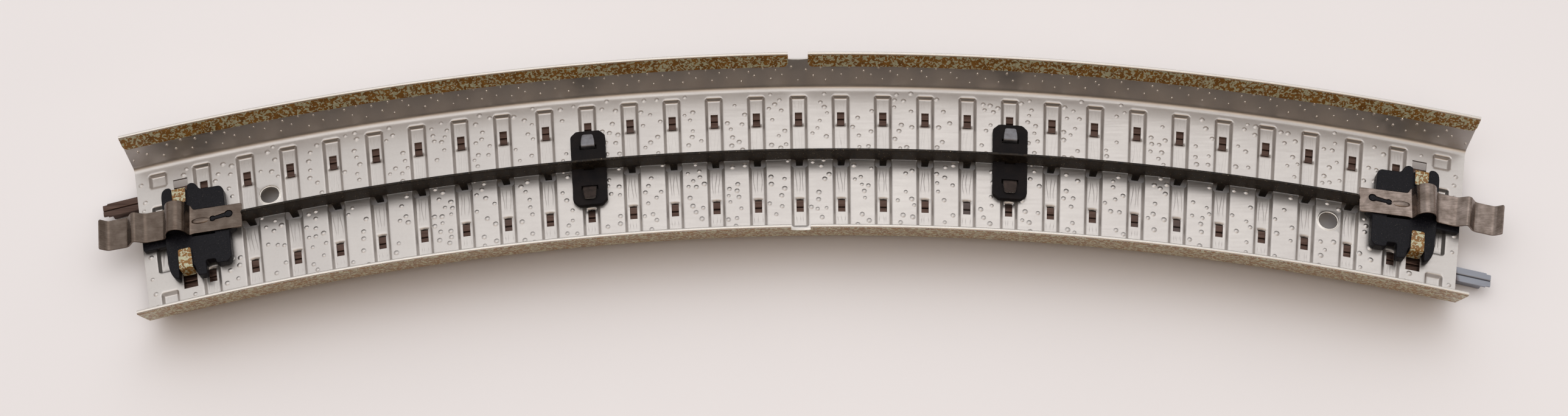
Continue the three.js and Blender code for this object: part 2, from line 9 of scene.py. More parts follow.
import bmesh
import bpy
from mathutils import Matrix, Vector
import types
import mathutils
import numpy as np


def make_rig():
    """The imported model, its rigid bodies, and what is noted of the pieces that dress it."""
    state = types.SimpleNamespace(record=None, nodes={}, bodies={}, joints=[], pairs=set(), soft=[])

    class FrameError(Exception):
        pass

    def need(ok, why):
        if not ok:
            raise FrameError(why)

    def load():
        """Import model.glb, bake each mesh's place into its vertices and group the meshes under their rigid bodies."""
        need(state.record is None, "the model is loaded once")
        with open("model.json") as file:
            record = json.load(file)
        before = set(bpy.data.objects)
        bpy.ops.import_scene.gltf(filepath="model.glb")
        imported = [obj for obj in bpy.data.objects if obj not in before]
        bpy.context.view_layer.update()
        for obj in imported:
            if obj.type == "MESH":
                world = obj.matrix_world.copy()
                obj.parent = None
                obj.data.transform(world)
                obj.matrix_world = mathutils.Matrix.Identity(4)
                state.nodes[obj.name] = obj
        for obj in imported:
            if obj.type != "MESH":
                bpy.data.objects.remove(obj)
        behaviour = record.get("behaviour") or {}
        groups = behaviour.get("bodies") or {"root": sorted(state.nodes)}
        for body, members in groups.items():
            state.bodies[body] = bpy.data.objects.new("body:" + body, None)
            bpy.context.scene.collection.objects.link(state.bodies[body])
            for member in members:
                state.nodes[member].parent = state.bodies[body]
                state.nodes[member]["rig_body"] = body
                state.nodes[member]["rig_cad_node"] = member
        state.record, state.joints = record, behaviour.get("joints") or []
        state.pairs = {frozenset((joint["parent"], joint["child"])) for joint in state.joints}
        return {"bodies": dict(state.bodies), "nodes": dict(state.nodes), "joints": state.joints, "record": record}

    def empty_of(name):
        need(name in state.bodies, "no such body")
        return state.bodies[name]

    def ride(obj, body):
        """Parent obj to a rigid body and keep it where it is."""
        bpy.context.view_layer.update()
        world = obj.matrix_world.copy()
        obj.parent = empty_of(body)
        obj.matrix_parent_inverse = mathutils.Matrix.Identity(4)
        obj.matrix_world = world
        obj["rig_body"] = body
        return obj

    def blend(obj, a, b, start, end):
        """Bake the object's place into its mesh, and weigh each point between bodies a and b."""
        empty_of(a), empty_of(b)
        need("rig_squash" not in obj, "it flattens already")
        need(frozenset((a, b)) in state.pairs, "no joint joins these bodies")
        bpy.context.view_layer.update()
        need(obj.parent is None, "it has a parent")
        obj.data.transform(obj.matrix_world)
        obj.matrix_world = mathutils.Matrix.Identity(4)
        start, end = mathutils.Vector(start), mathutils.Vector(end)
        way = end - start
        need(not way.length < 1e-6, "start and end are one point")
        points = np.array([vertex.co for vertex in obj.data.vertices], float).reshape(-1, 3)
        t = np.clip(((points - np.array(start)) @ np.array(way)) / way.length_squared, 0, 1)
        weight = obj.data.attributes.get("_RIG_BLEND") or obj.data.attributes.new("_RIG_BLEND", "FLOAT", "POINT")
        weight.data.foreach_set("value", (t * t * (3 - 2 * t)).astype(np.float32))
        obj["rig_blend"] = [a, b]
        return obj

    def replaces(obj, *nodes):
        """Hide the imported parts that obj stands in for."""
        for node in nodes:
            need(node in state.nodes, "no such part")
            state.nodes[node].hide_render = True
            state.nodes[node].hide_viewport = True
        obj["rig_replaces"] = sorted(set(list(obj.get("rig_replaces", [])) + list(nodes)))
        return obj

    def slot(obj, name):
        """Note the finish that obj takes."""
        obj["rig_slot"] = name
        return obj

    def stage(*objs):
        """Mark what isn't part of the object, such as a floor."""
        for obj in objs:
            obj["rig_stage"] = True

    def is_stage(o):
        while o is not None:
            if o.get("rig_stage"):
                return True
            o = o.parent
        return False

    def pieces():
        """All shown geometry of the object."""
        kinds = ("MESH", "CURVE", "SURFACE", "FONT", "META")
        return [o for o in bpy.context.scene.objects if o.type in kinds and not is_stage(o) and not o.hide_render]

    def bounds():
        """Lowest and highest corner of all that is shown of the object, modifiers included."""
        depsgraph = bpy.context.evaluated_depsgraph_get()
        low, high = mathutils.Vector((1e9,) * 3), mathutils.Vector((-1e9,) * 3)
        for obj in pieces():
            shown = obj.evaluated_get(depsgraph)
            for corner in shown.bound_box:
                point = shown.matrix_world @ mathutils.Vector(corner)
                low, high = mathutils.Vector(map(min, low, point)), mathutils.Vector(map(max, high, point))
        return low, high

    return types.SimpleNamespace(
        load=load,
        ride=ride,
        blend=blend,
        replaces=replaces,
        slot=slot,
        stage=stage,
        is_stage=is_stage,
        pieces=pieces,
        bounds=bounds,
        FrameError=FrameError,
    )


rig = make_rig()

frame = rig.load()
cad_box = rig.bounds()

# ---- driving dimensions, in millimetres ------------------------------------------------
# s runs along the centre line to the right, o outwards from it and z up
MM = 0.001
RADIUS = 437.4
ARC_HALF = math.radians(15) * RADIUS
PITCH = 2 * ARC_HALF / 31
MIDDLE = Vector((0.7389, 7.1426, 0.0))  # the curve's middle in the frame
SHEET = 0.35
BED_HALF = 15.0727  # half width of the flat bed, to the sharp corner of the sheet's middle

Z_FLOOR = 2.95
Z_BED = 3.65
Z_RIM = 11.35
PRESS = Z_BED - Z_FLOOR
SLOPE_TURN = math.atan2(8.05, 2.6)
BED_BEND = 1.3
FOLD = 0.185
HEM_DROP = 2.75
NOTCH_HALF = 1.7
NOTCH_FLOOR = 9.9
HEM_CORNER = 0.95

SLEEPER_HALF_WIDE = 1.05
SLEEPER_HALF_LONG = 12.9
RAIL_WINDOW = (7.45, 10.15)
RAIL_WINDOW_HALF = 0.65
LIP_START = 7.0
STUD_WINDOW = (1.45, 1.25)
PLATE_SLEEPER = 5
PLATE_WINDOW = (1.55, 4.18, 6.5)
END_WINDOW_HALF = 1.2
SCREW_RADIUS = 1.55
SCREW_S = 12.5 * PITCH
SCREW_O = 4.1
SCREW_PATCH = (PITCH / 2 - 1.55, 1.95, 6.25)
RECESS_WALL = 0.6
LIP_CURL = 1.5

RAIL_O = 8.95
RAIL_SHEET = 0.28
RAIL_REACH = 6.2
STRIP_THICK = 0.45
PLATE_LEVELS = (Z_BED + 0.08, Z_BED + 0.98)
PLATE_HALF = (3.05, 7.5)
PLATE_CHAMFER = 1.0
PLATE_LUG_FOOT, PLATE_LUG_TIP = 4.1, 6.5
END_LUG_S = 107.1
END_LUG_FOOT = 7.9
END_LUG_TIPS = {1: 4.9, -1: 4.2}

SPRING_S, SPRING_O = 96.9, 0.1
LEAF = 0.3
LEAF_Z = 5.58
LOOP_U = 11.0
TONGUE_U = 13.3
BLEND = (9.4, 13.0)
BLOCK = (3.73, 5.35)
ENDS = {"left": -1, "right": 1}


def track(s, o, z):
    """Point at arc length s along the centre line, offset o outwards, height z."""
    angle = s / RADIUS
    r = RADIUS + o
    return Vector((r * math.sin(angle), r * math.cos(angle) - RADIUS, z))


def smooth(t):
    t = min(1.0, max(0.0, t))
    return t * t * (3 - 2 * t)


# ---- mesh tools ------------------------------------------------------------------------
class Shell:
    """Points and faces of one mesh, each face with the number of its material."""

    def __init__(self):
        self.points = []
        self.faces = []
        self.kinds = []

    def face(self, corners, kind):
        self.faces.append(corners)
        self.kinds.append(kind)

    def add_mesh(self, mesh, kinds=None):
        base = len(self.points)
        self.points.extend(v.co.copy() for v in mesh.vertices)
        for p in mesh.polygons:
            kind = kinds[p.material_index] if kinds else p.material_index
            self.face([base + k for k in p.vertices], kind)

    def mesh(self, name):
        mesh = bpy.data.meshes.new(name)
        mesh.from_pydata(self.points, [], self.faces)
        mesh.polygons.foreach_set("material_index", self.kinds)
        return mesh


def add_sheet(shell, columns, rows, state, face, back, kinds):
    """A bent sheet on a grid. face(i, j) and back(i, j) are its two skins. state(i, j) of a
    cell is 1 where there is sheet, 0 at a hole, which gets walls, and 2 at a patch that is
    filled later. kinds are the materials of the face, of the back by row, and of the walls."""
    base = len(shell.points)
    for skin in (face, back):
        for i in range(columns):
            shell.points.extend(skin(i, j) for j in range(rows))

    def at(skin, i, j):
        return base + (skin * columns + i) * rows + j

    cells = [[state(i, j) for j in range(rows - 1)] for i in range(columns - 1)]
    for i in range(columns - 1):
        for j in range(rows - 1):
            if cells[i][j] != 1:
                continue
            ring = [(i, j), (i + 1, j), (i + 1, j + 1), (i, j + 1)]
            shell.face([at(0, *c) for c in ring], kinds[0])
            shell.face([at(1, *c) for c in reversed(ring)], kinds[1](j))
            beside = [(i, j - 1), (i + 1, j), (i, j + 1), (i - 1, j)]
            for k, (m, n) in enumerate(beside):
                inside = 0 <= m < columns - 1 and 0 <= n < rows - 1
                if inside and cells[m][n]:
                    continue
                p, q = ring[k], ring[(k + 1) % 4]
                shell.face([at(0, *q), at(0, *p), at(1, *p), at(1, *q)], kinds[2])
    return at


def cut_plate(outlines, low, high, bevel, steps=2):
    """Flat part with rounded edges. The outlines are closed, and inner ones are holes."""
    curve = bpy.data.curves.new("outline", "CURVE")
    curve.dimensions = "2D"
    curve.fill_mode = "BOTH"
    curve.extrude = (high - low) / 2 - bevel
    curve.bevel_depth = bevel
    curve.bevel_resolution = steps
    curve.offset = -bevel
    for outline in outlines:
        spline = curve.splines.new("POLY")
        spline.points.add(len(outline) - 1)
        for point, (x, y) in zip(spline.points, outline):
            point.co = (x, y, 0, 1)
        spline.use_cyclic_u = True
    holder = bpy.data.objects.new("outline", curve)
    bpy.context.scene.collection.objects.link(holder)
    graph = bpy.context.evaluated_depsgraph_get()
    mesh = bpy.data.meshes.new_from_object(holder.evaluated_get(graph))
    bpy.data.objects.remove(holder)
    bpy.data.curves.remove(curve)
    for v in mesh.vertices:
        v.co.z += (low + high) / 2
    bm = bmesh.new()
    bm.from_mesh(mesh)
    bmesh.ops.remove_doubles(bm, verts=bm.verts, dist=1e-4)
    bm.to_mesh(mesh)
    bm.free()
    return mesh


def moved(mesh, place):
    """The mesh with place(x, y, z) applied to every point."""
    for v in mesh.vertices:
        v.co = place(*v.co)
    return mesh


def path_frames(path):
    """Length so far, point and left-hand normal at each point of a path of (u, z)."""
    frames = []
    length = 0.0
    for k, (u, z) in enumerate(path):
        a = Vector(path[max(0, k - 1)])
        b = Vector(path[min(len(path) - 1, k + 1)])
        if k:
            length += (Vector((u, z)) - Vector(path[k - 1])).length
        along = (b - a).normalized()
        frames.append((length, Vector((u, z)), Vector((-along.y, along.x))))
    return frames


def rounded(points, radius, steps=4):
    """The path with each corner turned into a curve of about that radius."""
    out = [tuple(points[0])]
    for k in range(1, len(points) - 1):
        p = Vector(points[k])
        a = Vector(points[k - 1]) - p
        b = Vector(points[k + 1]) - p
        reach = min(radius, a.length * 0.48, b.length * 0.48)
        start = p + a.normalized() * reach
        end = p + b.normalized() * reach
        for n in range(steps + 1):
            t = n / steps
            q = start * (1 - t) ** 2 + p * 2 * t * (1 - t) + end * t * t
            out.append(tuple(q))
    out.append(tuple(points[-1]))
    return out


def round_corners(outline, radius, steps=3):
    """A closed outline with rounded corners."""
    n = len(outline)
    out = []
    for k in range(n):
        ring = [outline[k - 1], outline[k], outline[(k + 1) % n]]
        out.extend(rounded(ring, radius, steps)[1:-1])
    return out


def bend_plate(outlines, thickness, bevel, path, place, steps=2):
    """Flat blank of (length, width) outlines, bent along a path of (u, z). Its left-hand
    side has material 0, its other side 1 and its edges 2."""
    mesh = cut_plate(outlines, -thickness / 2, thickness / 2, bevel, steps)
    bm = bmesh.new()
    bm.from_mesh(mesh)
    bm.normal_update()
    for f in bm.faces:
        f.material_index = 0 if f.normal.z > 0.7 else 1 if f.normal.z < -0.7 else 2
    frames = path_frames(path)
    for length, _, _ in frames[1:-1]:
        everything = bm.verts[:] + bm.edges[:] + bm.faces[:]
        bmesh.ops.bisect_plane(
            bm, geom=everything, dist=1e-4, plane_co=(length, 0, 0), plane_no=(1, 0, 0)
        )
    for v in bm.verts:
        k = 0
        while k < len(frames) - 2 and v.co.x > frames[k + 1][0]:
            k += 1
        (l0, p0, n0), (l1, p1, n1) = frames[k], frames[k + 1]
        t = (v.co.x - l0) / (l1 - l0)
        q = p0.lerp(p1, t) + n0.lerp(n1, t) * v.co.z
        v.co = place(q.x, v.co.y, q.y)
    bm.to_mesh(mesh)
    bm.free()
    return mesh


def add_dome(shell, middle, along, across, up, profile, kind, steps=16):
    """Small round or oval bump with a soft foot. profile holds (radius, height) pairs from
    the foot to the tip."""
    rings = []
    for r, h in profile[:-1]:
        ring = []
        for k in range(steps):
            a = 2 * math.pi * k / steps
            point = middle + along * (r * math.cos(a)) + across * (r * math.sin(a)) + up * h
            ring.append(len(shell.points))
            shell.points.append(point)
        rings.append(ring)
    for low, high in zip(rings, rings[1:]):
        for k in range(steps):
            m = (k + 1) % steps
            shell.face([low[k], low[m], high[m], high[k]], kind)
    shell.points.append(middle + up * profile[-1][1])
    tip = len(shell.points) - 1
    for k in range(steps):
        shell.face([rings[-1][k], rings[-1][(k + 1) % steps], tip], kind)
    shell.face(list(reversed(rings[0])), kind)


def make_piece(name, mesh, materials, replaced, slot, side=1, sharp=35, recalc=True):
    """Moves the mesh into the frame, mirrored where side is -1, and makes it a piece that
    stands for the replaced CAD nodes."""
    bm = bmesh.new()
    bm.from_mesh(mesh)
    bmesh.ops.delete(bm, geom=[v for v in bm.verts if not v.link_faces], context="VERTS")
    bmesh.ops.transform(bm, matrix=Matrix.Scale(side, 4, (1, 0, 0)), verts=bm.verts)
    bmesh.ops.transform(bm, matrix=Matrix.Translation(MIDDLE), verts=bm.verts)
    bmesh.ops.transform(bm, matrix=Matrix.Scale(MM, 4), verts=bm.verts)
    if recalc:
        bmesh.ops.recalc_face_normals(bm, faces=bm.faces)
    bm.to_mesh(mesh)
    bm.free()
    mesh.shade_smooth()
    mesh.set_sharp_from_angle(angle=math.radians(sharp))
    for m in materials:
        mesh.materials.append(m)
    obj = bpy.data.objects.new(name, mesh)
    bpy.context.scene.collection.objects.link(obj)
    weighted = obj.modifiers.new("flat faces first", "WEIGHTED_NORMAL")
    weighted.keep_sharp = True
    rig.replaces(obj, *replaced)
    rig.slot(obj, slot)
    return obj


# ---- material tools --------------------------------------------------------------------
class Finish:
    """A node material on one Principled shader, patterned in millimetres."""

    def __init__(self, name, color, roughness, metallic, **sockets):
        self.material = bpy.data.materials.new(name)
        self.material.use_nodes = True
        self.tree = self.material.node_tree
        self.shader = self.tree.nodes["Principled BSDF"]
        self.shader.inputs["Base Color"].default_value = (*color, 1)
        self.shader.inputs["Roughness"].default_value = roughness
        self.shader.inputs["Metallic"].default_value = metallic
        for socket, value in sockets.items():
            self.shader.inputs[socket.replace("_", " ")].default_value = value
        self.place = self.tree.nodes.new("ShaderNodeTexCoord").outputs["Object"]

    def link(self, out, socket):
        self.tree.links.new(out, socket)

    def node(self, kind, **values):
        n = self.tree.nodes.new(kind)
        for key, value in values.items():
            setattr(n, key, value)
        return n

    def stretched(self, sx, sy, sz):
        """Place in millimetres, times a scale for each axis."""
        n = self.node("ShaderNodeMapping")
        n.inputs["Scale"].default_value = (sx * 1000, sy * 1000, sz * 1000)
        self.link(self.place, n.inputs["Vector"])
        return n.outputs["Vector"]

    def noise(self, scale, detail=3.0, rough=0.5, distortion=0.0, vector=None):
        n = self.node("ShaderNodeTexNoise")
        n.inputs["Scale"].default_value = 1.0
        n.inputs["Detail"].default_value = detail
        n.inputs["Roughness"].default_value = rough
        n.inputs["Distortion"].default_value = distortion
        self.link(vector or self.stretched(scale, scale, scale), n.inputs["Vector"])
        return n.outputs["Fac"]

    def ramp(self, fac, stops):
        n = self.node("ShaderNodeValToRGB")
        elements = n.color_ramp.elements
        while len(elements) < len(stops):
            elements.new(0.5)
        for element, (at, color) in zip(elements, stops):
            element.position = at
            element.color = (*color, 1)
        self.link(fac, n.inputs["Fac"])
        return n.outputs["Color"]

    def level(self, fac, low, high, at0=0.3, at1=0.7):
        """Goes from low to high while fac goes from at0 to at1."""
        n = self.node("ShaderNodeMapRange")
        n.inputs["From Min"].default_value = at0
        n.inputs["From Max"].default_value = at1
        n.inputs["To Min"].default_value = low
        n.inputs["To Max"].default_value = high
        self.link(fac, n.inputs["Value"])
        return n.outputs["Result"]

    def mix(self, fac, a, b):
        n = self.node("ShaderNodeMix", data_type="RGBA")
        self.link(fac, n.inputs["Factor"])
        for socket, value in ((n.inputs[6], a), (n.inputs[7], b)):
            if isinstance(value, tuple):
                socket.default_value = (*value, 1)
            else:
                self.link(value, socket)
        return n.outputs[2]

    def bump(self, height, distance, strength=1.0):
        n = self.node("ShaderNodeBump")
        n.inputs["Strength"].default_value = strength
        n.inputs["Distance"].default_value = distance * MM
        self.link(height, n.inputs["Height"])
        self.link(n.outputs["Normal"], self.shader.inputs["Normal"])

    def color(self, out):
        self.link(out, self.shader.inputs["Base Color"])

    def rough(self, out):
        self.link(out, self.shader.inputs["Roughness"])


def tin_finish():
    """Bright tinned sheet with cloudy dulling and fine rub marks."""
    f = Finish("bright_tin", (0.60, 0.57, 0.55), 0.4, 0.88)
    cloud = f.noise(0.09, 4, 0.6)
    fine = f.noise(2.2, 3, 0.6)
    rubbed = f.noise(1.0, 2, 0.5, vector=f.stretched(0.25, 3.0, 1.0))
    tone = f.ramp(cloud, [(0.3, (0.53, 0.495, 0.475)), (0.7, (0.58, 0.545, 0.52))])
    f.color(f.mix(f.level(fine, 0, 0.2, 0.4, 0.8), tone, (0.44, 0.40, 0.375)))
    f.rough(f.level(rubbed, 0.30, 0.40))
    f.bump(fine, 0.006, 0.4)
    return f.material


def print_finish():
    """Printed ballast: pale grey-green stones on ochre brown, under thin lacquer."""
    f = Finish("ballast_print", (0.30, 0.17, 0.04), 0.42, 0.1, Coat_Weight=0.15)
    stones = f.noise(1.7, 1, 0.4, 0.8)
    specks = f.noise(3.4, 1, 0.4)
    shade = f.noise(0.8, 3, 0.6)
    ground = f.ramp(shade, [(0.3, (0.17, 0.070, 0.008)), (0.7, (0.30, 0.135, 0.014))])
    pale = f.ramp(specks, [(0.3, (0.40, 0.385, 0.245)), (0.7, (0.56, 0.54, 0.37))])
    mask = f.level(stones, 0, 1, 0.525, 0.55)
    first = f.mix(mask, ground, pale)
    f.color(f.mix(f.level(specks, 0, 1, 0.64, 0.67), first, (0.60, 0.57, 0.42)))
    f.rough(f.level(shade, 0.3, 0.5))
    f.bump(stones, 0.015, 0.4)
    return f.material


def edge_and_highlight_finish():
    """Freshly cut or folded edge, bare and bright. The stones on the sloping sides take it too, as a painted
    highlight.
    """
    f = Finish("bare_edge_and_highlight", (0.66, 0.62, 0.58), 0.32, 0.9)
    f.rough(f.level(f.noise(1.4, 3), 0.2, 0.4))
    return f.material


RUBBED_FROM = (111.6 * MM, 112.4 * MM)


def rail_finish():
    """Dull folded rail sheet: purple brown, and rubbed blue grey where it stands out at the
    right end."""
    f = Finish("dull_rail_sheet", (0.16, 0.12, 0.12), 0.36, 0.85)
    along = f.noise(1.0, 4, 0.6, vector=f.stretched(0.12, 2.4, 2.4))
    patches = f.noise(0.05, 2, 0.5)
    brown = f.ramp(along, [(0.3, (0.045, 0.024, 0.018)), (0.7, (0.12, 0.075, 0.06))])
    split = f.node("ShaderNodeSeparateXYZ")
    f.link(f.place, split.inputs["Vector"])
    rubbed = f.level(split.outputs["X"], 0, 0.85, *RUBBED_FROM)
    worn = f.mix(f.level(patches, 0, 1, 0.6, 0.7), brown, (0.085, 0.066, 0.062))
    f.color(f.mix(rubbed, worn, (0.30, 0.315, 0.36)))
    f.rough(f.level(along, 0.28, 0.5))
    f.bump(along, 0.01, 0.4)
    return f.material


def strip_finish():
    """Blackened strip with brown dust and a few bright scuffs."""
    f = Finish("blackened_strip", (0.02, 0.017, 0.014), 0.42, 0.2, Specular_IOR_Level=0.2)
    dust = f.noise(1.6, 5, 0.65)
    scuff = f.noise(5.0, 2, 0.5)
    body = f.ramp(dust, [(0.35, (0.006, 0.005, 0.005)), (0.75, (0.045, 0.033, 0.023))])
    f.color(f.mix(f.level(scuff, 0, 1, 0.68, 0.74), body, (0.30, 0.24, 0.17)))
    f.rough(f.level(dust, 0.3, 0.62))
    f.bump(dust, 0.03, 0.6)
    return f.material


def fibre_finish():
    """Matt pressed fibre board, black brown with a fine tooth."""
    f = Finish("black_fibre", (0.02, 0.016, 0.016), 0.72, 0.0, Specular_IOR_Level=0.1)
    tooth = f.noise(4.5, 4, 0.7)
    patch = f.noise(0.5, 3, 0.5)
    tone = f.ramp(patch, [(0.3, (0.007, 0.006, 0.007)), (0.7, (0.016, 0.013, 0.013))])
    f.color(f.mix(f.level(tooth, 0, 1, 0.64, 0.76), tone, (0.07, 0.05, 0.042)))
    f.rough(f.level(patch, 0.62, 0.82))
    f.bump(tooth, 0.05, 0.7)
    return f.material


def moulding_finish():
    """Satin black moulding with a trace of blue and a little dust."""
    f = Finish("black_moulding", (0.018, 0.017, 0.024), 0.42, 0.0, Specular_IOR_Level=0.14)
    grain = f.noise(3.5, 4, 0.65)
    dust = f.noise(6.5, 2, 0.5)
    tone = f.ramp(grain, [(0.35, (0.004, 0.0038, 0.0055)), (0.7, (0.012, 0.0112, 0.0155))])
    f.color(f.mix(f.level(dust, 0, 1, 0.68, 0.76), tone, (0.12, 0.10, 0.09)))
    f.rough(f.level(grain, 0.34, 0.56))
    f.bump(grain, 0.02, 0.5)
    return f.material


def spring_finish(name, deep, pale):
    """Nickel-toned bronze strip, rolled lengthwise and slightly tarnished. Its deep and pale tones are set for each
    spring, the right one paler as a painted reflection.
    """
    f = Finish(name, pale, 0.28, 1.0)
    rolled = f.noise(1.0, 4, 0.6, vector=f.stretched(0.5, 7.0, 1.0))
    stain = f.noise(0.55, 4, 0.6)
    tone = f.ramp(stain, [(0.32, deep), (0.7, pale)])
    f.color(f.mix(f.level(rolled, 0, 0.5, 0.4, 0.8), tone, (0.07, 0.05, 0.04)))
    f.rough(f.level(rolled, 0.18, 0.32))
    f.bump(rolled, 0.005, 0.4)
    return f.material


def lug_reflection_finish(name, deep, pale):
    """Tin of the folded lugs that grip the cross plates, darkened between deep and pale as a painted reflection."""
    f = Finish(name, pale, 0.4, 0.85)
    cloud = f.noise(0.8, 4, 0.6)
    f.color(f.ramp(cloud, [(0.3, deep), (0.7, pale)]))
    f.rough(f.level(cloud, 0.32, 0.5))
    f.bump(cloud, 0.03, 0.5)
    return f.material


SHEET_FINISHES = [
    tin_finish(),
    print_finish(),
    edge_and_highlight_finish(),
    # two copies of the lug tin: pale for the far rail's lugs, dark for the near rail's lugs, as painted reflection
    lug_reflection_finish("lug_tin_pale_reflection", (0.13, 0.12, 0.125), (0.24, 0.24, 0.26)),
    lug_reflection_finish("lug_tin_dark_reflection", (0.012, 0.009, 0.008), (0.05, 0.035, 0.03)),
]
TIN, PRINT, EDGE_AND_HIGHLIGHT, LUG_PALE_REFLECTION, LUG_DARK_REFLECTION = range(len(SHEET_FINISHES))


# ---- pressed sheet roadbed -------------------------------------------------------------
def recess_gap(s, o):
    """Distance outside the floor of the nearest pressed sleeper, negative inside it."""
    index = round(s / PITCH)
    local = abs(s - index * PITCH) - SLEEPER_HALF_WIDE
    a = abs(o)
    if abs(index) <= 14:
        across = [a - SLEEPER_HALF_LONG]
    elif abs(index) == 15:
        across = [a - 6.2, max(11.0 - a, a - SLEEPER_HALF_LONG)]
    else:
        across = [5.0]
    best = 5.0
    for w in across:
        gap = math.hypot(local, w) if local > 0 and w > 0 else max(local, w)
        best = min(best, gap)
    return best


def pressed(s, o, start):
    """How far the skin is pressed down. A sleeper's wall starts that far outside its floor,
    and a lip curls down beside each rail window."""
    depth = PRESS * (1 - smooth((recess_gap(s, o) - start) / RECESS_WALL))
    index = round(s / PITCH)
    inside = abs(s - index * PITCH) < RAIL_WINDOW_HALF + 0.01
    a = abs(o)
    if inside and abs(index) <= 14 and LIP_START < a < RAIL_WINDOW[0] + 0.01:
        depth += LIP_CURL * (a - LIP_START) ** 2
    return depth


def half_stations():
    """From the middle outwards: (offset, height, normal offset, normal height, part)."""
    flat = [0.62, 1.25, 1.6, 1.95, 2.6, 3.3, SCREW_O, 4.18, 4.9, 5.6, 6.15, 6.25, 6.35]
    flat += [6.45, 6.55, 6.7, 7.0, 7.12, 7.24, 7.36, 7.45, 7.98, 8.6, 9.4, 10.15, 10.5]
    flat += [10.65, 10.75, 10.85, 10.95, 11.05, 11.2, 11.6, 12.2, 12.7, 12.85, 12.95]
    flat += [13.05, 13.15, 13.25, 13.35, 13.55, 13.9]
    middle_z = Z_BED - SHEET / 2
    stations = [(o, middle_z, 0.0, 1.0, "bed") for o in flat]
    turn = SLOPE_TURN
    along = Vector((math.cos(turn), math.sin(turn)))
    reach = BED_BEND * math.tan(turn / 2)
    for k in range(7):
        a = turn * k / 6
        o = BED_HALF - reach + BED_BEND * math.sin(a)
        z = middle_z + BED_BEND * (1 - math.cos(a))
        stations.append((o, z, -math.sin(a), math.cos(a), "bend"))
    start = Vector((BED_HALF, middle_z)) + along * reach
    normal = Vector((-math.sin(turn), math.cos(turn)))
    fold_z = Z_RIM - SHEET - 0.01
    for z in (4.6, 5.4, 6.3, 7.2, 8.1, 8.5, 9.2, NOTCH_FLOOR, 10.55, fold_z):
        p = start + along * ((z - start.y) / along.y)
        stations.append((p.x, z, normal.x, normal.y, "slope"))
    centre = Vector(stations[-1][:2]) + normal * FOLD
    for k in range(1, 10):
        a = turn + math.pi * k / 9
        n = Vector((-math.sin(a), math.cos(a)))
        p = centre - n * FOLD
        stations.append((p.x, p.y, n.x, n.y, "fold"))
    last = Vector(stations[-1][:2])
    for z in (10.55, 9.9, 9.5, 9.25, 9.05, 8.88, 8.75, 8.66, Z_RIM - HEM_DROP):
        p = last - along * ((last.y - z) / along.y)
        stations.append((p.x, z, -normal.x, -normal.y, "hem"))
    return stations


def bed_columns():
    """Arc lengths of the grid lines: close together where the sheet is pressed."""
    near = [0.65, 0.95, 1.05, 1.15, 1.25, 1.35, 1.45, 1.55, 1.7, 2.0, 2.4935, 3.1]
    local = [-v for v in reversed(near)] + [0.0] + near
    columns = [-ARC_HALF]
    for index in range(-15, 16):
        columns.extend(index * PITCH + v for v in local)
        columns.append((index + 0.5) * PITCH)
    return columns


def in_window(s, o):
    """Whether the point is over a hole for a stud, a rail, a plate's lug or an end lug."""
    index = round(s / PITCH)
    local = abs(s - index * PITCH)
    a = abs(o)
    if abs(index) <= 13 and local < STUD_WINDOW[0] and a < STUD_WINDOW[1]:
        return True
    if abs(index) <= 14 and local < RAIL_WINDOW_HALF and RAIL_WINDOW[0] < a < RAIL_WINDOW[1]:
        return True
    half, low, high = PLATE_WINDOW
    if abs(index) == PLATE_SLEEPER and local < half and low < a < high:
        return True
    end = abs(abs(s) - 14.5 * PITCH) < END_WINDOW_HALF
    return end and 7.98 < a < (11.2 if o > 0 else 10.75)


def near_screw(s, o, grow=0.0):
    """Whether the point is in the square that is kept for a screw hole."""
    half, low, high = SCREW_PATCH
    side = 1 if s > 0 else -1
    beside = -o * side
    return abs(abs(s) - SCREW_S) < half + grow and low - grow < beside < high + grow


def corner_shift(height):
    """How far the hem's end is cut back at that height above its rounded lower corner."""
    r = HEM_CORNER
    return 0.0 if height >= r else r - math.sqrt(r * r - (r - max(0.0, height)) ** 2)


